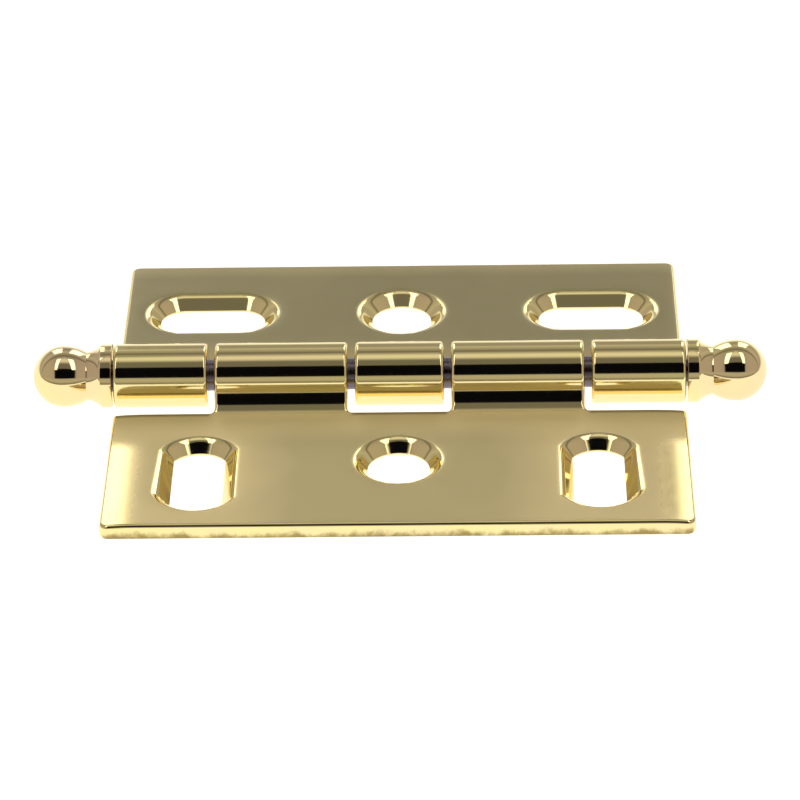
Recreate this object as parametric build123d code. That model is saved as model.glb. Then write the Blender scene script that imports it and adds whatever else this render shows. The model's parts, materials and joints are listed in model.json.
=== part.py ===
from build123d import *
import os
from math import atan2, degrees, sqrt

# Leaves
barrel_length = 50.8  # both leaves are as long as the barrel
open_width = 44.4  # from outer edge to outer edge with the hinge open flat
leaf_thickness = 1.4
corner_radius = 0.8  # outer corners, seen from above
edge_chamfer = 0.25  # broken edge all round the outline, top and bottom

# Knuckles
knuckle_diameter = 5.7
door_knuckle_length = 11.8
middle_knuckle_length = 7.9
knuckle_gap = 0.65
root_radius = 1.36  # concave sweep from a knuckle down to the leaf
notch_step = 0.15  # flat left between the root and the notch for the other leaf's knuckle
notch_corner_radius = 0.5

# Pin
pin_diameter = 2.8
running_clearance = 0.05  # radial, between the pin and the door leaf
spigot_diameter = 2.0
spigot_length = 2.4
spigot_chamfer = 0.2
socket_end_room = 0.3

# Ball finials, measured along the pin from the collar's inner face
finial_gap = 0.1  # between the collar and the end of the barrel
collar_diameter = 5.7
collar_length = 1.05
cove_length = 1.28
cove_sag = 0.12  # how far the cove sinks below a straight cone
neck_diameter = 4.3
neck_to_ball_middle = 2.12
ball_diameter = 5.48

# Screw holes, all countersunk from above
hole_diameter = 5.4
frame_slot_length = 9.6
frame_slot_width = 4.5
door_slot_length = 9.6
door_slot_width = 4.5
door_slot_end_rise = 1.2  # depth of the shallow round end
sink_reach = 1.27  # how far a countersink opens past its hole, all round
sink_land = 0.45  # straight wall left under a countersink
slot_to_leaf_end = 8.0  # slot's centre from the leaf's end, along the pin
frame_holes_to_edge = 8.7  # centres from the leaf's outer edge
door_hole_to_edge = 10.2
door_slots_to_edge = 8.3

# Worked out from the sizes above
knuckle_radius = knuckle_diameter / 2
axis_height = knuckle_radius  # the undersides lie flush with the bottom of the barrel
leaf_reach = open_width / 2  # from the pin's axis to a leaf's outer edge
root_centre_z = leaf_thickness + root_radius
root_end = sqrt((knuckle_radius + root_radius) ** 2 - (axis_height - root_centre_z) ** 2)
notch_line = root_end + notch_step
slot_x = barrel_length / 2 - slot_to_leaf_end
sink_slope = degrees(atan2(sink_reach, leaf_thickness - sink_land))
past = knuckle_diameter  # how far a cutting tool runs past the metal


def knuckle_spans():
    """Start and end of the five knuckles along the pin, from left to right."""
    inner = 2 * door_knuckle_length + middle_knuckle_length + 4 * knuckle_gap
    end_length = (barrel_length - inner) / 2
    lengths = [end_length, door_knuckle_length, middle_knuckle_length, door_knuckle_length, end_length]
    spans = []
    start = -barrel_length / 2
    for length in lengths:
        spans.append((start, start + length))
        start += length + knuckle_gap
    return spans


def leaf_section():
    """Cross-section of a leaf that points along +Y: flat plate, concave root and knuckle."""
    plate = Pos(leaf_reach / 2, leaf_thickness / 2) * Rectangle(leaf_reach, leaf_thickness)
    knuckle = Pos(0, axis_height) * Circle(knuckle_radius)
    web = make_face(Polyline((0, 0), (root_end, 0), (root_end, root_centre_z), (0, axis_height), close=True))
    hollow = Pos(root_end, root_centre_z) * Circle(root_radius)
    return plate + knuckle + (web - hollow)


def notch(start, end):
    """Cutter with eased inner corners that clears the barrel and the root between two places along the pin."""
    depth = past + notch_line
    block = Pos((start + end) / 2, notch_line - depth / 2, axis_height) * Box(end - start, depth, 2 * past)
    return fillet(block.edges().filter_by(Axis.Z).sort_by(Axis.Y)[-2:], notch_corner_radius)


def leaf_blank(notches):
    """Leaf without holes, notched for the other leaf's knuckles, with rounded corners and broken edges."""
    blank = extrude(Plane.YZ * leaf_section(), barrel_length / 2, both=True)
    for start, end in notches:
        blank -= notch(start, end)
    corners = [edge for edge in blank.edges().filter_by(Axis.Z) if on_leaf_end(edge)]
    blank = fillet(corners, corner_radius)
    outline = blank.edges().filter_by(Axis.Z, reverse=True)
    seams = outline.filter_by(Axis.X).filter_by_position(Axis.Y, -past, root_end + notch_step / 2)
    return chamfer([edge for edge in outline if edge not in seams], edge_chamfer)


def on_leaf_end(edge):
    """Whether an upright edge stands on one of the leaf's two ends."""
    return abs(abs(edge.center().X) - barrel_length / 2) < notch_step


def countersunk(outline):
    """Cutter for a hole of this outline: a straight land below a countersink that widens all round."""
    land = Pos(0, 0, -past) * extrude(outline, past + sink_land)
    sink = Pos(0, 0, sink_land) * extrude(outline, leaf_thickness - sink_land, taper=-sink_slope)
    return land + sink


def door_slot_outline():
    """Slot across the pin, whose shallow round ends meet its straight sides at corners."""
    half = door_slot_width / 2
    end = door_slot_length / 2
    corner = end - door_slot_end_rise
    edges = [
        Line((half, -corner), (half, corner)),
        ThreePointArc((half, corner), (0, end), (-half, corner)),
        Line((-half, corner), (-half, -corner)),
        ThreePointArc((-half, -corner), (0, -end), (half, -corner)),
    ]
    return make_face(edges)


def drilled(blank, hole_to_edge, slot_outline, slots_to_edge):
    """Leaf with a round hole in the middle and a slot near each end."""
    leaf = blank - Pos(0, leaf_reach - hole_to_edge) * countersunk(Circle(hole_diameter / 2))
    for x in (-slot_x, slot_x):
        leaf -= Pos(x, leaf_reach - slots_to_edge) * countersunk(slot_outline)
    return leaf


def bored(leaf, diameter):
    """Leaf with its knuckles bored for the pin."""
    return leaf - Pos(0, 0, axis_height) * Rot(0, 90, 0) * Cylinder(diameter / 2, barrel_length + past)


def hinge_pin():
    """Pin with a thinner spigot at each end that holds a finial."""
    shank_length = barrel_length + 2 * finial_gap
    shank = Cylinder(pin_diameter / 2, shank_length)
    spigots = Cylinder(spigot_diameter / 2, shank_length + 2 * spigot_length)
    spigots = chamfer(spigots.edges().filter_by(GeomType.CIRCLE), spigot_chamfer)
    return Pos(0, 0, axis_height) * Rot(0, 90, 0) * (shank + spigots)


def ball_finial():
    """Turned tip along +X: collar, cove, sharp neck and ball, with a blind socket for the pin's spigot."""
    collar_radius = collar_diameter / 2
    neck_x = collar_length + cove_length
    neck_radius = neck_diameter / 2
    ball_x = neck_x + neck_to_ball_middle
    ball_radius = ball_diameter / 2
    cove_middle = (collar_length + cove_length / 2, (collar_radius + neck_radius) / 2 - cove_sag)
    profile = [
        Polyline((ball_x + ball_radius, 0), (0, 0), (0, collar_radius), (collar_length, collar_radius)),
        ThreePointArc((collar_length, collar_radius), cove_middle, (neck_x, neck_radius)),
        TangentArc((ball_x, ball_radius), (neck_x, neck_radius), tangent=(-1, 0)),
        TangentArc((ball_x, ball_radius), (ball_x + ball_radius, 0), tangent=(1, 0)),
    ]
    tip = revolve(make_face(profile), Axis.X)
    depth = spigot_length + socket_end_room
    return tip - Pos(depth / 2, 0, 0) * Rot(0, 90, 0) * Cylinder(spigot_diameter / 2, depth)


def assembly():
    """Every piece of the hinge, open flat, by name."""
    left, door_left, middle, door_right, right = knuckle_spans()
    frame_notches = [(left[1], middle[0]), (middle[1], right[0])]
    door_notches = [(-barrel_length, door_left[0]), (door_left[1], door_right[0]), (door_right[1], barrel_length)]
    frame_blank = leaf_blank(frame_notches)
    door_blank = leaf_blank(door_notches)
    frame_slot_outline = SlotOverall(frame_slot_length, frame_slot_width)
    frame_leaf = drilled(frame_blank, frame_holes_to_edge, frame_slot_outline, frame_holes_to_edge)
    door_leaf = drilled(door_blank, door_hole_to_edge, door_slot_outline(), door_slots_to_edge)
    seat = Pos(barrel_length / 2 + finial_gap, 0, axis_height)
    right_finial = seat * ball_finial()
    return {
        "frame_leaf": bored(frame_leaf, pin_diameter),
        "door_leaf": Rot(0, 0, 180) * bored(door_leaf, pin_diameter + 2 * running_clearance),
        "hinge_pin": hinge_pin(),
        "left_ball_finial": Rot(0, 0, 180) * right_finial,
        "right_ball_finial": right_finial,
    }


os.makedirs("parts", exist_ok=True)
for name, piece in assembly().items():
    export_step(piece, f"parts/{name}.step")
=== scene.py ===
import json
import math

import bmesh
import bpy
import numpy as np
from mathutils import Matrix, Vector


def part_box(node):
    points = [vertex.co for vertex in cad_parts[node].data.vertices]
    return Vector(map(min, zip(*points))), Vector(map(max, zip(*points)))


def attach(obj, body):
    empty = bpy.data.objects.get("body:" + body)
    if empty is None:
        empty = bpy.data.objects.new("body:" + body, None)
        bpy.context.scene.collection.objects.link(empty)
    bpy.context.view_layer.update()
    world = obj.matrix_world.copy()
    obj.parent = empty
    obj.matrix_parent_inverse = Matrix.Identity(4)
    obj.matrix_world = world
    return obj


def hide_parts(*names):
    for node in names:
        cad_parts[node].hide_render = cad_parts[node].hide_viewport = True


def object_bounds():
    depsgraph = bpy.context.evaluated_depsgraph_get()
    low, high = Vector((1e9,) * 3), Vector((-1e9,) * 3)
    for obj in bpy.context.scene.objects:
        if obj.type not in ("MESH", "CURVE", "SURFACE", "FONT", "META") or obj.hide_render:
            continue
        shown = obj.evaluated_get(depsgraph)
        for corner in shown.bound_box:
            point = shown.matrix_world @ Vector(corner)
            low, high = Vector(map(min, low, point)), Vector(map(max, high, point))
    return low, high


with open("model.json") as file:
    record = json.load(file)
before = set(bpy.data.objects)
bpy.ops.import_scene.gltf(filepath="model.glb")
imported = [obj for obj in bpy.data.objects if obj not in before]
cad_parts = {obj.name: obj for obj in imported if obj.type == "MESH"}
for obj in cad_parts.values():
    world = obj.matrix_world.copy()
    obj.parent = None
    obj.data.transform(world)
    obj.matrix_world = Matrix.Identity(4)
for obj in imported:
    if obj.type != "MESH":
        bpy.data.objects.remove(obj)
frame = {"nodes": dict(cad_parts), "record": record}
cad_low, cad_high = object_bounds()

MM = 0.001
mounts = {mount["name"]: mount for mount in frame["record"]["mounts"]}


def size_mm(node):
    """Lengths of a CAD node's box along X, Y and Z, in millimetres."""
    low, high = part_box(node)
    return [(high[axis] - low[axis]) / MM for axis in range(3)]


def mount_y(name):
    """Distance of a mount from the pin's axis, in millimetres."""
    return abs(mounts[name]["pos_m"][1]) / MM


# Sizes of the leaves in millimetres. Each leaf is modelled pointing along +Y.
leaf_length, _, barrel_diameter = size_mm("frame_leaf")
knuckle_radius = barrel_diameter / 2
leaf_reach = cad_high[1] / MM
leaf_thickness = 1.4
corner_radius = 0.8  # outer corners, seen from above
inner_corner_radius = 0.35  # where a notch runs out at the leaf's end
edge_radius = 0.32  # top edges
under_edge_radius = 0.1  # bottom edges
edge_turn = (0.2, 1.0)  # heights between which the edges' radius grows
knuckle_gap = 0.65
door_knuckle_length = 11.8
middle_knuckle_length = 7.9
root_radius = 3.2
root_end = 4.05  # from the pin's axis
root_start_angle = math.radians(2.4)  # how far below the pin's axis the root leaves the knuckle
notch_line = 4.0  # from the pin's axis
notch_corner_radius = 0.5

# Holes
hole_radius = mounts["frame_leaf_hole"]["dims"]["r_mm"]
slot_x = mounts["frame_leaf_slots"]["dims"]["spacing_x_mm"] / 2
slot_length = mounts["frame_leaf_slots"]["dims"]["slot_length_mm"]
slot_radius = mounts["frame_leaf_slots"]["dims"]["hole_r_mm"]
sink_land = 0.3  # straight wall left under a countersink
frame_sink_reach = 1.18  # how far a countersink opens past its hole
door_sink_reach = 1.02
door_slot_end_rise = 1.2  # depth of the shallow round end
door_slot_flare = 0.045  # growth of the slot's width per millimetre along it
rim_radius = 0.3

# Polished roll-off of the top face. A leaf's end shoulder fades out towards the pin.
shoulder_fade = 1.0
frame_end_shoulder = {"width": 1.2, "drop": 0.03, "from": root_end}
door_end_shoulder = {"width": 4.4, "drop": 0.15, "from": knuckle_radius}
edge_shoulder = {"width": 1.4, "drop": 0.03}
rim_shoulder = {"width": 1.3, "drop": 0.05}

# Arc of the concave root, from the knuckle to the plate
root_start = (
    knuckle_radius * math.cos(root_start_angle),
    knuckle_radius - knuckle_radius * math.sin(root_start_angle),
)
root_chord = (root_end - root_start[0], leaf_thickness - root_start[1])
root_half_chord = math.hypot(*root_chord) / 2
root_lean = math.sqrt(root_radius ** 2 - root_half_chord ** 2) / (2 * root_half_chord)
root_centre = (
    (root_start[0] + root_end) / 2 - root_chord[1] * root_lean,
    (root_start[1] + leaf_thickness) / 2 + root_chord[0] * root_lean,
)

# Meshing of the leaves
cell = 0.17
grid_margin = 0.4 * cell  # room round the leaf
cell_slack = 0.1 * cell  # how far a vertex may leave its cell
gradient_step = 1e-3
crossing_steps = 4  # rounds that bring a crossing onto the surface
surface_steps = 2  # rounds that bring a vertex onto the surface
weakest_share = 0.08  # weaker directions, as a share of the strongest, don't move a vertex
least_slope = 0.25
least_length = 1e-9
straight_turn = 1e-3  # sine of a corner that counts as straight
crease_cosine = math.cos(math.radians(25))
corner_sample = 0.03  # how far inside a face's corner its normal is taken


def round_max(a, b, radius):
    """Field of what lies in both a and b, with their shared outside edge rounded."""
    corner = np.hypot(np.maximum(a + radius, 0), np.maximum(b + radius, 0))
    return np.minimum(np.maximum(a, b), -radius) + corner


def smooth_step(value, start, end):
    """0 before start and 1 after end, with a soft change between."""
    t = np.clip((value - start) / (end - start), 0, 1)
    return t * t * (3 - 2 * t)


def knuckle_spans():
    """Start and end of the five knuckles along the pin."""
    inner = 2 * door_knuckle_length + middle_knuckle_length + 4 * knuckle_gap
    end_length = (leaf_length - inner) / 2
    spans = []
    start = -leaf_length / 2
    for length in (end_length, door_knuckle_length, middle_knuckle_length, door_knuckle_length, end_length):
        spans.append((start, start + length))
        start += length + knuckle_gap
    return spans


def plan_field(x, y, notches):
    """Distance to a leaf's outline seen from above, negative inside it."""
    field = round_max(np.abs(x) - leaf_length / 2, y - leaf_reach, corner_radius)
    for start, end in notches:
        across = np.abs(x - (start + end) / 2) - (end - start) / 2
        notch = round_max(across, y - notch_line, notch_corner_radius)
        field = round_max(field, -notch, inner_corner_radius)
    return field


def section_field(y, z, drop):
    """Distance to a leaf's cross-section: knuckle, concave root and plate, whose top face sinks by drop."""
    barrel = np.hypot(y, z - knuckle_radius) - knuckle_radius
    sunk_z = z + drop
    plate = np.maximum(np.maximum(sunk_z - leaf_thickness, -z), -y)
    solid = np.minimum(barrel, plate)
    root = np.maximum(root_radius - np.hypot(y - root_centre[0], z - root_centre[1]), -z)
    under_chord = root_chord[0] * (z - root_start[1]) < root_chord[1] * (y - root_start[0])
    by_root = (y > 0) & (y < root_end) & (z < root_start[1])
    return np.where(by_root & under_chord, np.minimum(solid, root), solid)


def round_hole(x, y):
    """Distance to a round hole's edge, seen from above."""
    return np.hypot(x, y) - hole_radius


def long_slot(x, y):
    """Distance to the edge of a slot along the pin with half-round ends."""
    straight = slot_length / 2 - slot_radius
    return np.hypot(np.maximum(np.abs(x) - straight, 0), y) - slot_radius


def countersunk(distance, z, sink_reach):
    """Field of a hole's cutter: a straight land below a cone."""
    depth = leaf_thickness - sink_land
    slope = math.hypot(depth, sink_reach)
    cone = (distance * depth - (z - sink_land) * sink_reach) / slope
    return np.minimum(distance, cone)


def cross_slot(x, y, z, outer_side):
    """Field of the cutter for a slot across the pin, with straight sides and shallow round ends.
    Its side towards the leaf's end flares out as it nears the leaf's outer edge."""
    end = slot_length / 2
    half = slot_radius
    end_radius = (half ** 2 + door_slot_end_rise ** 2) / (2 * door_slot_end_rise)
    ends = np.hypot(x, np.maximum(np.abs(y) - (end - end_radius), 0)) - end_radius
    flare = np.where(x * outer_side > 0, door_slot_flare * (y + end) * np.clip(z - sink_land, 0, 1), 0)
    sides = np.abs(x) - half - flare
    return np.maximum(countersunk(sides, z, door_sink_reach), countersunk(ends, z, door_sink_reach))


def top_drop(x, y, rims, end_shoulder):
    """How far polishing took the top face down near the leaf's ends, outer edge and holes' rims."""
    past_root = smooth_step(y, end_shoulder["from"], end_shoulder["from"] + shoulder_fade)
    to_end = np.clip(1 - (leaf_length / 2 - np.abs(x)) / end_shoulder["width"], 0, None)
    to_edge = np.clip(1 - (leaf_reach - y) / edge_shoulder["width"], 0, None)
    to_rim = np.clip(1 - rims / rim_shoulder["width"], 0, 1)
    ends = past_root * end_shoulder["drop"] * to_end ** 3
    return ends + edge_shoulder["drop"] * to_edge ** 2 + rim_shoulder["drop"] * to_rim ** 2


def frame_leaf_field(p):
    """Signed distance to the frame leaf in millimetres."""
    x, y, z = p
    hole_y = mount_y("frame_leaf_hole")
    slot_y = mount_y("frame_leaf_slots")
    hole = round_hole(x, y - hole_y)
    slots = long_slot(np.abs(x) - slot_x, y - slot_y)
    nearest = np.minimum(hole, slots)
    cutter = countersunk(nearest, z, frame_sink_reach)
    drop = top_drop(x, y, nearest - frame_sink_reach, frame_end_shoulder)
    return leaf_field(x, y, z, frame_notches, drop, cutter)


def door_leaf_field(p):
    """Signed distance to the door leaf in millimetres."""
    x, y, z = p
    hole_y = mount_y("door_leaf_hole")
    slot_y = mount_y("door_leaf_slots")
    hole = round_hole(x, y - hole_y)
    side = np.sign(x)
    local_x = x - side * slot_x
    slot = cross_slot(local_x, y - slot_y, z, side)
    slot_rim = cross_slot(local_x, y - slot_y, leaf_thickness, side)
    cutter = np.minimum(countersunk(hole, z, door_sink_reach), slot)
    drop = top_drop(x, y, np.minimum(hole - door_sink_reach, slot_rim), door_end_shoulder)
    return leaf_field(x, y, z, door_notches, drop, cutter)


def leaf_field(x, y, z, notches, drop, cutter):
    """Signed distance to a leaf: rounded blank, less its holes and its bore."""
    section = section_field(y, z, drop)
    radius = under_edge_radius + (edge_radius - under_edge_radius) * smooth_step(z, *edge_turn)
    blank = round_max(section, plan_field(x, y, notches), radius)
    drilled = round_max(blank, -cutter, rim_radius)
    bore = bore_radius - np.hypot(y, z - knuckle_radius)
    return np.maximum(drilled, bore)


def gradient(field, p):
    """Slope of a field at points, by central differences."""
    slopes = []
    for axis in range(3):
        ahead, behind = p.copy(), p.copy()
        ahead[axis] += gradient_step
        behind[axis] -= gradient_step
        slopes.append((field(ahead) - field(behind)) / (2 * gradient_step))
    return np.array(slopes)


def unit(vectors):
    """Vectors, one per column, scaled to length 1."""
    return vectors / np.maximum(np.linalg.norm(vectors, axis=0), least_length)


def contour(field, low, high):
    """Vertices and quads of a field's surface by dual contouring, which keeps creases sharp."""
    lines = [np.arange(low[axis], high[axis] + cell, cell) for axis in range(3)]
    counts = [len(line) for line in lines]
    values = field(np.array(np.meshgrid(*lines, indexing="ij")).reshape(3, -1)).reshape(counts)
    cells = [count - 1 for count in counts]
    inside = values < 0

    crossings, starts_inside, around = [], [], []
    for axis in range(3):
        first = tuple(slice(0, -1) if a == axis else slice(None) for a in range(3))
        second = tuple(slice(1, None) if a == axis else slice(None) for a in range(3))
        index = np.array(np.nonzero(inside[first] != inside[second]))
        b, c = (axis + 1) % 3, (axis + 2) % 3
        within = (index[b] > 0) & (index[c] > 0) & (index[b] < cells[b]) & (index[c] < cells[c])
        index = index[:, within]
        end = index.copy()
        end[axis] += 1
        p0 = np.array([lines[a][index[a]] for a in range(3)])
        p1 = np.array([lines[a][end[a]] for a in range(3)])
        v0, v1 = values[tuple(index)], values[tuple(end)]
        for _ in range(crossing_steps):
            p = p0 + (p1 - p0) * (v0 / (v0 - v1))
            v = field(p)
            same = (v < 0) == (v0 < 0)
            p0, v0 = np.where(same, p, p0), np.where(same, v, v0)
            p1, v1 = np.where(same, p1, p), np.where(same, v1, v)
        crossings.append(p0 + (p1 - p0) * (v0 / (v0 - v1)))
        starts_inside.append(inside[tuple(index)])
        ring = []
        for shift_b, shift_c in ((-1, -1), (0, -1), (0, 0), (-1, 0)):
            neighbour = index.copy()
            neighbour[b] += shift_b
            neighbour[c] += shift_c
            ring.append(np.ravel_multi_index(tuple(neighbour), cells))
        around.append(np.array(ring))
    points = np.concatenate(crossings, axis=1)
    normals = unit(gradient(field, points))
    rings = np.concatenate(around, axis=1)
    used, vertex = np.unique(rings, return_inverse=True)
    vertex = vertex.reshape(rings.shape)

    def gathered(weights):
        return np.bincount(vertex.ravel(), np.tile(weights, 4), len(used))

    middle = np.array([gathered(points[a]) for a in range(3)]) / gathered(np.ones(points.shape[1]))
    planes = np.einsum("ik,ik->k", normals, points)
    matrix = np.array([[gathered(normals[a] * normals[b]) for b in range(3)] for a in range(3)])
    target = np.array([gathered(normals[a] * planes) for a in range(3)])
    target -= np.einsum("abk,bk->ak", matrix, middle)
    strength, axes = np.linalg.eigh(matrix.transpose(2, 0, 1))
    kept = strength > weakest_share * strength[:, 2:]
    inverse = np.where(kept, 1 / np.where(kept, strength, 1), 0)
    shift = np.einsum("kai,ki,kbi,bk->ak", axes, inverse, axes, target)
    corner = np.array([lines[a][i] for a, i in enumerate(np.unravel_index(used, cells))])
    vertices = np.clip(middle + shift, corner - cell_slack, corner + cell + cell_slack)
    for _ in range(surface_steps):
        slope = gradient(field, vertices)
        vertices -= field(vertices) * slope / np.maximum((slope ** 2).sum(axis=0), least_slope)
    flipped = ~np.concatenate(starts_inside)
    rings[:, :] = vertex
    rings[:, flipped] = rings[::-1, flipped]
    return vertices, rings.T


def corner_normals(mesh, field):
    """True surface's normal for each corner of each face: one per vertex, but one per face at a crease."""
    count = len(mesh.loops)
    vertex = np.empty(count, int)
    mesh.loops.foreach_get("vertex_index", vertex)
    place = np.empty(3 * len(mesh.vertices))
    mesh.vertices.foreach_get("co", place)
    place = place.reshape(-1, 3).T / MM
    start = np.empty(len(mesh.polygons), int)
    total = np.empty(len(mesh.polygons), int)
    mesh.polygons.foreach_get("loop_start", start)
    mesh.polygons.foreach_get("loop_total", total)
    facing = np.empty(3 * len(mesh.polygons))
    mesh.polygons.foreach_get("normal", facing)
    facing = np.repeat(facing.reshape(-1, 3), total, axis=0).T
    first = np.repeat(start, total)
    last = np.repeat(start + total - 1, total)
    loop = np.arange(count)
    ahead = np.where(loop == last, first, loop + 1)
    behind = np.where(loop == first, last, loop - 1)
    here = place[:, vertex]
    to_next = unit(place[:, vertex[ahead]] - here)
    to_last = unit(place[:, vertex[behind]] - here)
    inward = to_next + to_last
    turn = np.einsum("ik,ik->k", np.cross(to_next, to_last, axis=0), facing)
    inward = np.where(turn < -straight_turn, -inward, inward)
    straight = np.abs(turn) <= straight_turn
    inward = np.where(straight, np.cross(facing, to_next, axis=0), inward)
    at_vertex = unit(gradient(field, place))
    at_corner = unit(gradient(field, here + corner_sample * unit(inward)))
    agreement = np.einsum("ik,ik->k", at_corner, at_vertex[:, vertex])
    worst = np.ones(place.shape[1])
    np.minimum.at(worst, vertex, agreement)
    return np.where(worst[vertex] > crease_cosine, at_vertex[:, vertex], at_corner).T


def leaf_mesh(name, field):
    """Mesh of a leaf that points along +Y, shaded with the true surface's normals."""
    low = (-leaf_length / 2 - grid_margin, -knuckle_radius - grid_margin, -grid_margin)
    high = (leaf_length / 2 + grid_margin, leaf_reach + grid_margin, barrel_diameter + grid_margin)
    vertices, quads = contour(field, low, high)
    mesh = bpy.data.meshes.new(name)
    mesh.from_pydata((vertices.T * MM).tolist(), [], quads.tolist())
    mesh.shade_smooth()
    mesh.normals_split_custom_set(corner_normals(mesh, field).tolist())
    return mesh


def add_piece(name, mesh, material, body, node):
    """Puts a finished mesh in the scene in place of its CAD node."""
    piece = bpy.data.objects.new(name, mesh)
    bpy.context.scene.collection.objects.link(piece)
    mesh.materials.append(material)
    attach(piece, body)
    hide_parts(node)
    return piece


def lathe(name, profile, segments=96, crease=30):
    """Mesh turned about X from (x, radius) points in millimetres. It is sharp where it bends by over crease degrees."""
    mesh = bpy.data.meshes.new(name)
    build = bmesh.new()
    turn = [2 * math.pi * i / segments for i in range(segments)]
    rings = []
    for x, radius in profile:
        angles = turn if radius > 0 else turn[:1]
        places = [(x * MM, radius * math.cos(a) * MM, radius * math.sin(a) * MM) for a in angles]
        rings.append([build.verts.new(place) for place in places])
    for ring, after in zip(rings, rings[1:]):
        for i in range(segments):
            j = (i + 1) % segments
            corners = [ring[i % len(ring)], ring[j % len(ring)], after[j % len(after)], after[i % len(after)]]
            build.faces.new(dict.fromkeys(corners))
    bmesh.ops.recalc_face_normals(build, faces=build.faces)
    build.to_mesh(mesh)
    build.free()
    mesh.shade_smooth()
    mesh.set_sharp_from_angle(angle=math.radians(crease))
    return mesh


def arc(start_angle, end_angle, centre, radius, count):
    """Points on an arc, angles in degrees from the pin's direction."""
    angles = np.radians(np.linspace(start_angle, end_angle, count))
    return [(centre[0] + radius * math.cos(a), centre[1] + radius * math.sin(a)) for a in angles]


def finial_profile():
    """Turned outline of the right finial, in millimetres from the pin's middle."""
    low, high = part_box("right_ball_finial")
    start, tip = low[0] / MM, high[0] / MM
    collar_radius = (high[2] - low[2]) / 2 / MM
    collar_length = 1.05
    cove_length = 1.28
    cove_sag = 0.12
    neck_radius = 2.15
    ball_radius = 2.74
    soft = 0.04  # rounding of the collar's edges
    soft_points, cove_points, neck_points, ball_points = 6, 14, 16, 28
    cove_start = 0.08  # share of the cove that the collar's rounded edge takes up
    cove_edge_angle = 20
    collar_gap = 0.06  # how much further the collar stands off the barrel than in the CAD
    socket_radius = 1.0
    socket_depth = 2.7
    neck_x = start + collar_length + cove_length
    end = start + collar_length
    ball_x = tip - ball_radius
    face = start + collar_gap
    points = [(start + socket_depth, 0), (start + socket_depth, socket_radius), (face, socket_radius)]
    points += arc(180, 90, (face + soft, collar_radius - soft), soft, soft_points)
    points += arc(90, cove_edge_angle, (end - soft, collar_radius - soft), soft, soft_points)
    for step in np.linspace(cove_start, 1, cove_points):
        x = end + cove_length * step
        chord = collar_radius + (neck_radius - collar_radius) * step
        points.append((x, chord - 4 * cove_sag * step * (1 - step)))
    rise = ball_radius - neck_radius
    run = ball_x - neck_x
    shoulder = (run ** 2 + rise ** 2) / (2 * rise)
    for step in np.linspace(0, 1, neck_points)[1:]:
        x = neck_x + run * step
        points.append((x, ball_radius - shoulder + math.sqrt(shoulder ** 2 - (ball_x - x) ** 2)))
    points += arc(90, 0, (ball_x, 0), ball_radius, ball_points)[1:-1]
    points.append((tip, 0))
    return points


# Node helpers

def add(nodes, kind, **settings):
    """New node with its settings and the plain values of its inputs."""
    node = nodes.new(kind)
    inputs = settings.pop("inputs", {})
    for key, value in settings.items():
        setattr(node, key, value)
    for key, value in inputs.items():
        node.inputs[key].default_value = value
    return node


def math_node(tree, operation, a, b=0.0, clamp=False):
    """Output of a math node whose inputs are sockets or numbers."""
    node = add(tree.nodes, "ShaderNodeMath", operation=operation, use_clamp=clamp)
    for socket, value in zip(node.inputs, (a, b)):
        if isinstance(value, bpy.types.NodeSocket):
            tree.links.new(value, socket)
        else:
            socket.default_value = value
    return node.outputs[0]


def ramp(tree, value, low, high, to_low=0.0, to_high=1.0):
    """Soft change of a socket's value from one range to another."""
    node = add(tree.nodes, "ShaderNodeMapRange", interpolation_type="SMOOTHSTEP")
    node.inputs["From Min"].default_value = low
    node.inputs["From Max"].default_value = high
    node.inputs["To Min"].default_value = to_low
    node.inputs["To Max"].default_value = to_high
    tree.links.new(value, node.inputs["Value"])
    return node.outputs["Result"]


def mix_colour(tree, factor, a, b):
    """Mix of two colours, each a socket or a plain colour."""
    node = add(tree.nodes, "ShaderNodeMix", data_type="RGBA")
    for socket, value in ((node.inputs[0], factor), (node.inputs[6], a), (node.inputs[7], b)):
        if isinstance(value, bpy.types.NodeSocket):
            tree.links.new(value, socket)
        elif isinstance(value, tuple):
            socket.default_value = (*value, 1)
        else:
            socket.default_value = value
    return node.outputs[2]


def noise(tree, vector, scale, detail=3.0, roughness=0.5):
    """Value of a noise texture over a vector in metres."""
    settings = {"Scale": scale, "Detail": detail, "Roughness": roughness}
    node = add(tree.nodes, "ShaderNodeTexNoise", inputs=settings)
    tree.links.new(vector, node.inputs["Vector"])
    return node.outputs["Fac"]


def stretched(tree, vector, scale):
    """A vector scaled differently along each axis."""
    node = add(tree.nodes, "ShaderNodeMapping", inputs={"Scale": scale})
    tree.links.new(vector, node.inputs["Vector"])
    return node.outputs["Vector"]


def new_material(name):
    """New material with its node tree and its shader."""
    material = bpy.data.materials.new(name)
    material.use_nodes = True
    tree = material.node_tree
    return material, tree, tree.nodes["Principled BSDF"]


# Where the leaves' looks change, in millimetres
plate_looks = (1.45, 1.6)  # heights over which the plate's looks give way to the knuckles'
end_polish = (-4.4, -0.8)  # from the leaf's end: where the polish starts and where it is full
barrel_haze = (7.5, 10.5)  # from the pin: where the end polish starts and where it is full
root_looks = (0.5, 5.5)  # from the root: where its painted light starts to fade and where it is gone
painted_shade_across = (0.35, 0.9)  # from the notch line: the same for the painted shade along the notches
painted_shade_fade = 0.8  # the same along the pin, past a notch's end
outer_edge = (0.95 * leaf_reach, 0.98 * leaf_reach)  # from the pin
low_edge_height = (-1.1, -0.35)  # where the dark band low on the outer edge is full and where it ends, less its wander
low_edge_wander = 2.2  # how far blotches move the dark band's edge

# Strengths and colours of the leaves' looks
facing_up = (0.93, 0.99)  # normal's upward share where the flat's looks start and are full
facing_out = (0.6, 0.9)  # normal's outward share for the dark band low on the outer edge
haze_metallic = 0.3
# painted shade along the notch line: a dark band standing in for the barrel's dark reflection in the flat
painted_shade_colour = (0.24, 0.18, 0.06)
painted_shade_strength = 0.85
low_edge_colour = (0.30, 0.21, 0.06)
low_edge_strength = 0.9
low_edge_roughness = 0.2


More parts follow.
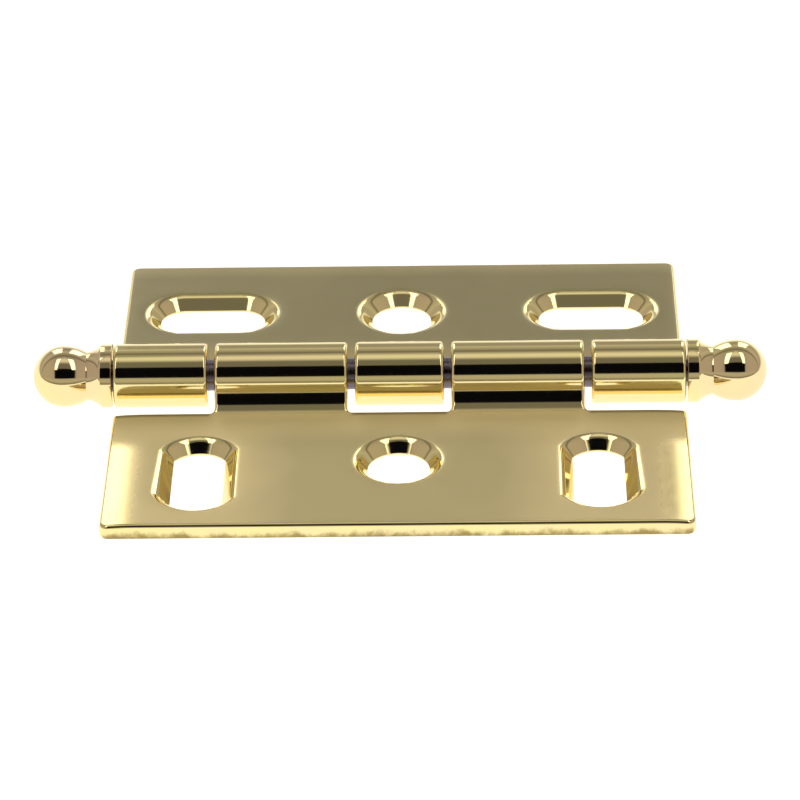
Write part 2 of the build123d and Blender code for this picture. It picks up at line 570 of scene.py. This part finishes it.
def in_metres(span, place=0.0):
    """Start and end of a span that is given in millimetres from a place."""
    return [(place + value) * MM for value in span]


def brass(name, tint, other_tint, roughness):
    """Polished brass with faint clouds in its tint and uneven gloss."""
    material, tree, shader = new_material(name)
    where = tree.nodes.new("ShaderNodeTexCoord").outputs["Object"]
    clouds = ramp(tree, noise(tree, where, scale=160, detail=2), low=0.35, high=0.65)
    tree.links.new(mix_colour(tree, clouds, tint, other_tint), shader.inputs["Base Color"])
    grain = noise(tree, where, scale=900, detail=3)
    gloss = ramp(tree, grain, low=0.3, high=0.7, to_low=0.8 * roughness, to_high=1.2 * roughness)
    tree.links.new(gloss, shader.inputs["Roughness"])
    shader.inputs["Metallic"].default_value = 1
    return material


def leaf_brass(name, tint, flat_tint, side_painted_light, root_painted_light, side, notched, roughness, satin):
    """Polished brass knuckles, edges and ends. The plate's flat top is hazy lacquered satin, painted lighter towards
    its sides and its root as painted light, with painted shade along its notches and a darker, blotchy band low on its
    outer edge."""
    material = brass(name, tint, brass_peach, roughness)
    tree = material.node_tree
    shader = tree.nodes["Principled BSDF"]
    colour = shader.inputs["Base Color"].links[0].from_socket
    gloss = shader.inputs["Roughness"].links[0].from_socket
    coordinates = tree.nodes.new("ShaderNodeTexCoord")
    where = coordinates.outputs["Object"]
    place = tree.nodes.new("ShaderNodeSeparateXYZ")
    tree.links.new(where, place.inputs[0])
    facing = tree.nodes.new("ShaderNodeSeparateXYZ")
    tree.links.new(coordinates.outputs["Normal"], facing.inputs[0])
    along = math_node(tree, "ABSOLUTE", place.outputs[0])
    across = math_node(tree, "ABSOLUTE", place.outputs[1])
    height = place.outputs[2]

    def times(a, b):
        return math_node(tree, "MULTIPLY", a, b)

    def falling(value, low, high):
        return ramp(tree, value, low, high, to_low=1.0, to_high=0.0)

    on_plate = falling(height, *in_metres(plate_looks))
    at_end = ramp(tree, along, *in_metres(end_polish, leaf_length / 2))
    clear_of_barrel = ramp(tree, across, *in_metres(barrel_haze))
    flat = times(ramp(tree, facing.outputs[2], *facing_up), on_plate)
    polish = times(at_end, clear_of_barrel)
    hazy = times(flat, ramp(tree, polish, low=0.0, high=1.0, to_low=1.0, to_high=side["end_haze"]))
    clouds = ramp(tree, noise(tree, where, scale=120, detail=2), low=0.3, high=0.7, to_low=-0.15, to_high=0.15)
    measure = along if side["axis"] == "x" else across
    # Painted light: the flat is painted lighter towards its root and towards its sides (the frame leaf's far edge, the
    # door leaf's ends)
    by_root = falling(across, *in_metres(root_looks, root_end))
    sideways = ramp(tree, measure, side["start"] * MM, side["end"] * MM)
    sideways = math_node(tree, "ADD", sideways, clouds, clamp=True)
    flat_colour = mix_colour(tree, sideways, flat_tint, side_painted_light)
    flat_colour = mix_colour(tree, by_root, flat_colour, root_painted_light)
    colour = mix_colour(tree, hazy, colour, flat_colour)
    grain = noise(tree, where, scale=700, detail=4)
    satin_gloss = ramp(tree, grain, low=0.3, high=0.7, to_low=0.9 * satin, to_high=1.1 * satin)
    rough = math_node(tree, "ADD", gloss, times(hazy, satin_gloss))

    # Painted shade: a dark band on the flat along the notch line, where the barrel's dark reflection falls
    past_start = ramp(tree, along, *in_metres((-painted_shade_fade, 0), door_right[0]))
    by_knuckle = times(past_start, falling(along, *in_metres((0, painted_shade_fade), door_right[1])))
    by_notch = by_knuckle if notched == "inside" else falling(by_knuckle, 0.0, 1.0)
    painted_shade = times(falling(across, *in_metres(painted_shade_across, notch_line)), by_notch)
    painted_shade = times(painted_shade, flat)
    colour = mix_colour(tree, times(painted_shade, painted_shade_strength), colour, painted_shade_colour)

    # Darker, blotchy band low on the outer edge face, with rougher gloss
    outward = ramp(tree, math_node(tree, "ABSOLUTE", facing.outputs[1]), *facing_out)
    at_edge = ramp(tree, across, *in_metres(outer_edge))
    blotches = noise(tree, where, scale=450, detail=5, roughness=0.65)
    worn_height = math_node(tree, "ADD", height, times(blotches, -low_edge_wander * MM))
    low_edge_dark = times(times(outward, at_edge), falling(worn_height, *in_metres(low_edge_height)))
    colour = mix_colour(tree, times(low_edge_dark, low_edge_strength), colour, low_edge_colour)
    rough = math_node(tree, "ADD", rough, times(low_edge_dark, low_edge_roughness))

    tree.links.new(colour, shader.inputs["Base Color"])
    tree.links.new(rough, shader.inputs["Roughness"])
    metallic = ramp(tree, hazy, low=0.0, high=1.0, to_low=1.0, to_high=haze_metallic)
    tree.links.new(metallic, shader.inputs["Metallic"])
    return material


def steel(name):
    """Drawn steel with fine rings round the pin."""
    ring_stretch = (9000, 400, 400)
    dark_steel = (0.12, 0.10, 0.12)
    light_steel = (0.22, 0.19, 0.22)
    material, tree, shader = new_material(name)
    where = tree.nodes.new("ShaderNodeTexCoord").outputs["Object"]
    rings = noise(tree, stretched(tree, where, ring_stretch), scale=1.0, detail=2)
    tree.links.new(mix_colour(tree, rings, dark_steel, light_steel), shader.inputs["Base Color"])
    gloss = ramp(tree, rings, low=0.3, high=0.7, to_low=0.18, to_high=0.32)
    tree.links.new(gloss, shader.inputs["Roughness"])
    shader.inputs["Metallic"].default_value = 1
    return material


# Pieces
left, door_left, middle, door_right, right = knuckle_spans()
frame_notches = [(left[1], middle[0]), (middle[1], right[0])]
door_notches = [(-leaf_length, door_left[0]), (door_left[1], door_right[0]), (door_right[1], leaf_length)]
bore_clearance = 0.03
bore_radius = size_mm("hinge_pin")[2] / 2 + bore_clearance

brass_yellow = (0.93, 0.80, 0.36)
brass_peach = (0.94, 0.78, 0.39)
# brass_olive: the frame leaf's flat, painted darker than the door leaf's flat of the same brass, as painted shade
brass_olive = (0.33, 0.29, 0.125)
# painted light: brass_light_olive, brass_satin_peach and brass_pale are the lighter flats towards the leaves' roots and
# sides
brass_light_olive = (0.46, 0.39, 0.175)
brass_satin = (0.60, 0.51, 0.225)
brass_satin_peach = (0.80, 0.66, 0.30)
brass_pale = (0.98, 0.83, 0.40)
brass_pink = (0.90, 0.72, 0.39)
# where the flat's painted light towards its sides starts and is full, in mm, and how hazy the polished ends stay
far_edge = {"axis": "y", "start": 19.5, "end": 21.8, "end_haze": 1.0}
ends = {"axis": "x", "start": 8.0, "end": 15.0, "end_haze": 0.25}
leaf_polish, finial_polish, leaf_satin = 0.07, 0.06, 0.28  # roughness
frame_brass = leaf_brass(
    "frame_leaf_brass", brass_yellow, brass_olive, brass_light_olive, brass_light_olive,
    far_edge, "inside", leaf_polish, leaf_satin,
)
door_brass = leaf_brass(
    "door_leaf_brass", brass_yellow, brass_satin, brass_satin_peach, brass_pale,
    ends, "outside", leaf_polish, leaf_satin,
)
finial_brass = brass("finial_brass", brass_pink, brass_yellow, finial_polish)
pin_steel = steel("pin_steel")

frame_mesh = leaf_mesh("frame_leaf_looks", frame_leaf_field)
door_mesh = leaf_mesh("door_leaf_looks", door_leaf_field)
door_mesh.transform(Matrix.Rotation(math.pi, 4, "Z"))
add_piece("frame_leaf_looks", frame_mesh, frame_brass, "frame_side", "frame_leaf")
add_piece("door_leaf_looks", door_mesh, door_brass, "door_side", "door_leaf")

to_axis = Matrix.Translation((0, 0, knuckle_radius * MM))
turned = Matrix.Rotation(math.pi, 4, "Z")
right_mesh = lathe("right_ball_finial_looks", finial_profile())
left_mesh = right_mesh.copy()
left_mesh.name = "left_ball_finial_looks"
right_mesh.transform(to_axis)
left_mesh.transform(to_axis @ turned)
for side, mesh in (("right", right_mesh), ("left", left_mesh)):
    node = f"{side}_ball_finial"
    add_piece(f"{node}_looks", mesh, finial_brass, "frame_side", node)
pin_mesh = frame["nodes"]["hinge_pin"].data
pin_mesh.materials.clear()
pin_mesh.materials.append(pin_steel)

# Pale floor that glows a little, below the reach of a leaf that hangs straight down
floor_half = 2.0
floor_room = 3
floor_grey = (0.3, 0.3, 0.3, 1)
floor_roughness = 0.9
floor_white = (1, 1, 1, 1)
floor_glow = 0.97

floor_signs = [(-1, -1), (1, -1), (1, 1), (-1, 1)]
floor_mesh = bpy.data.meshes.new("floor")
floor_mesh.from_pydata([(floor_half * x, floor_half * y, 0) for x, y in floor_signs], [], [(0, 1, 2, 3)])
floor = bpy.data.objects.new("floor", floor_mesh)
floor.location.z = -(leaf_reach + floor_room) * MM
bpy.context.scene.collection.objects.link(floor)
floor_material, _, floor_shader = new_material("pale_floor")
floor_shader.inputs["Base Color"].default_value = floor_grey
floor_shader.inputs["Roughness"].default_value = floor_roughness
floor_shader.inputs["Emission Color"].default_value = floor_white
floor_shader.inputs["Emission Strength"].default_value = floor_glow
floor_mesh.materials.append(floor_material)


def studio():
    """Soft studio round the object, given by direction. Each area lies over the ones before it."""
    world = bpy.data.worlds.new("studio")
    bpy.context.scene.world = world
    world.use_nodes = True
    tree = world.node_tree
    where = tree.nodes.new("ShaderNodeTexCoord").outputs["Generated"]
    parts = tree.nodes.new("ShaderNodeSeparateXYZ")
    tree.links.new(where, parts.inputs[0])
    x, y, z = parts.outputs
    least = 0.02

    def divide(a, b):
        return math_node(tree, "DIVIDE", a, math_node(tree, "MAXIMUM", b, least))

    def both(a, b):
        return math_node(tree, "MULTIPLY", a, b)

    def beyond(value, limit, soft):
        return ramp(tree, value, limit - soft, limit + soft)

    def short_of(value, limit, soft):
        return ramp(tree, value, limit - soft, limit + soft, to_low=1.0, to_high=0.0)

    def band(value, low, high, soft):
        return both(beyond(value, low, soft), short_of(value, high, soft))

    # Directions: sideways share, places on a ceiling, and slopes in front and behind
    aside = math_node(tree, "ABSOLUTE", x)
    ceiling_x = divide(aside, z)
    ceiling_y = divide(y, z)
    back_rise = divide(z, y)
    front_rise = divide(z, math_node(tree, "MULTIPLY", y, -1.0))
    lamp_lean = 0.38
    spread = math_node(tree, "ADD", ceiling_x, math_node(tree, "MULTIPLY", ceiling_y, lamp_lean))

    # Where each area starts and ends, and how soft its limits are
    side_wall_aside = (0.1, 0.8)
    behind = beyond(y, limit=0.05, soft=0.05)
    before = short_of(y, limit=-0.05, soft=0.05)
    between_lamps = short_of(spread, limit=0.17, soft=0.03)
    low_back = both(short_of(back_rise, limit=0.2, soft=0.12), behind)
    upper_back = both(band(ceiling_y, low=0.85, high=1.3, soft=0.2), behind)
    back_seam = both(band(ceiling_y, low=0.4, high=0.58, soft=0.07), behind)
    side_lamps = both(band(aside, low=0.105, high=0.4, soft=0.02), band(back_rise, low=0.35, high=1.1, soft=0.1))
    dim_ceiling = both(band(ceiling_y, low=-0.7, high=0.0, soft=0.04), between_lamps)
    ceiling_panel = both(band(ceiling_y, low=-0.1, high=0.24, soft=0.14), between_lamps)
    front_strip = both(short_of(front_rise, limit=0.38, soft=0.06), before)
    horizon_rise = (0.0, 0.2)
    opening = both(beyond(front_rise, limit=0.42, soft=0.03), short_of(front_rise, limit=1.75, soft=0.12))
    opening = both(both(opening, before), short_of(aside, limit=0.5, soft=0.04))
    lamps = both(band(spread, low=0.2, high=0.42, soft=0.02), band(ceiling_y, low=-0.62, high=0.2, soft=0.05))

    wall = (0.33, 0.315, 0.315)
    side_wall = (0.45, 0.40, 0.40)
    upper_wall = (0.50, 0.48, 0.46)
    seam = (0.19, 0.18, 0.17)
    panel = (0.78, 0.75, 0.72)
    dim = (0.17, 0.165, 0.16)
    lamp = (2.2, 2.1, 2.05)
    side_lamp = (2.3, 2.2, 2.1)
    low_front = (0.48, 0.46, 0.42)
    horizon = (0.22, 0.21, 0.19)
    dark = (0.003, 0.003, 0.005)
    white = (1.0, 1.0, 1.0)
    colour = mix_colour(tree, ramp(tree, aside, *side_wall_aside), wall, side_wall)
    front_wall = mix_colour(tree, ramp(tree, front_rise, *horizon_rise), horizon, low_front)
    areas = [
        (low_back, white),
        (upper_back, upper_wall),
        (back_seam, seam),
        (both(side_lamps, behind), side_lamp),
        (dim_ceiling, dim),
        (ceiling_panel, panel),
        (front_strip, front_wall),
        (opening, dark),
        (lamps, lamp),
    ]
    for area, light in areas:
        colour = mix_colour(tree, area, colour, light)
    tree.links.new(colour, tree.nodes["Background"].inputs["Color"])


studio()

# Camera, from the photograph: angles of view and where the pin's middle falls in the picture
photo_size = 800
focal_pixels = 4180
camera_distance = 372.4 * MM
pitch = math.radians(31.46)
yaw = math.radians(-1.27)
roll = math.radians(-1.20)
pin_middle_pixel = (399.67, 373.24)

forward = Vector((math.sin(yaw) * math.cos(pitch), math.cos(yaw) * math.cos(pitch), -math.sin(pitch)))
level = Vector((math.cos(yaw), -math.sin(yaw), 0))
raised = level.cross(forward)
right_axis = math.cos(roll) * level + math.sin(roll) * raised
up_axis = math.cos(roll) * raised - math.sin(roll) * level
centre = photo_size / 2
aim = right_axis * (pin_middle_pixel[0] - centre) / focal_pixels
aim -= up_axis * (pin_middle_pixel[1] - centre) / focal_pixels
camera_data = bpy.data.cameras.new("camera")
camera_data.sensor_width = 36
camera_data.lens = focal_pixels / photo_size * camera_data.sensor_width
camera = bpy.data.objects.new("camera", camera_data)
bpy.context.scene.collection.objects.link(camera)
turn = Matrix((right_axis, up_axis, -forward)).transposed().to_4x4()
place = Vector((0, 0, knuckle_radius * MM)) - (aim + forward) * camera_distance
camera.matrix_world = Matrix.Translation(place) @ turn
camera_data.clip_start = 0.01
camera_data.clip_end = 10
bpy.context.scene.camera = camera

bpy.context.scene.view_settings.view_transform = "Standard"
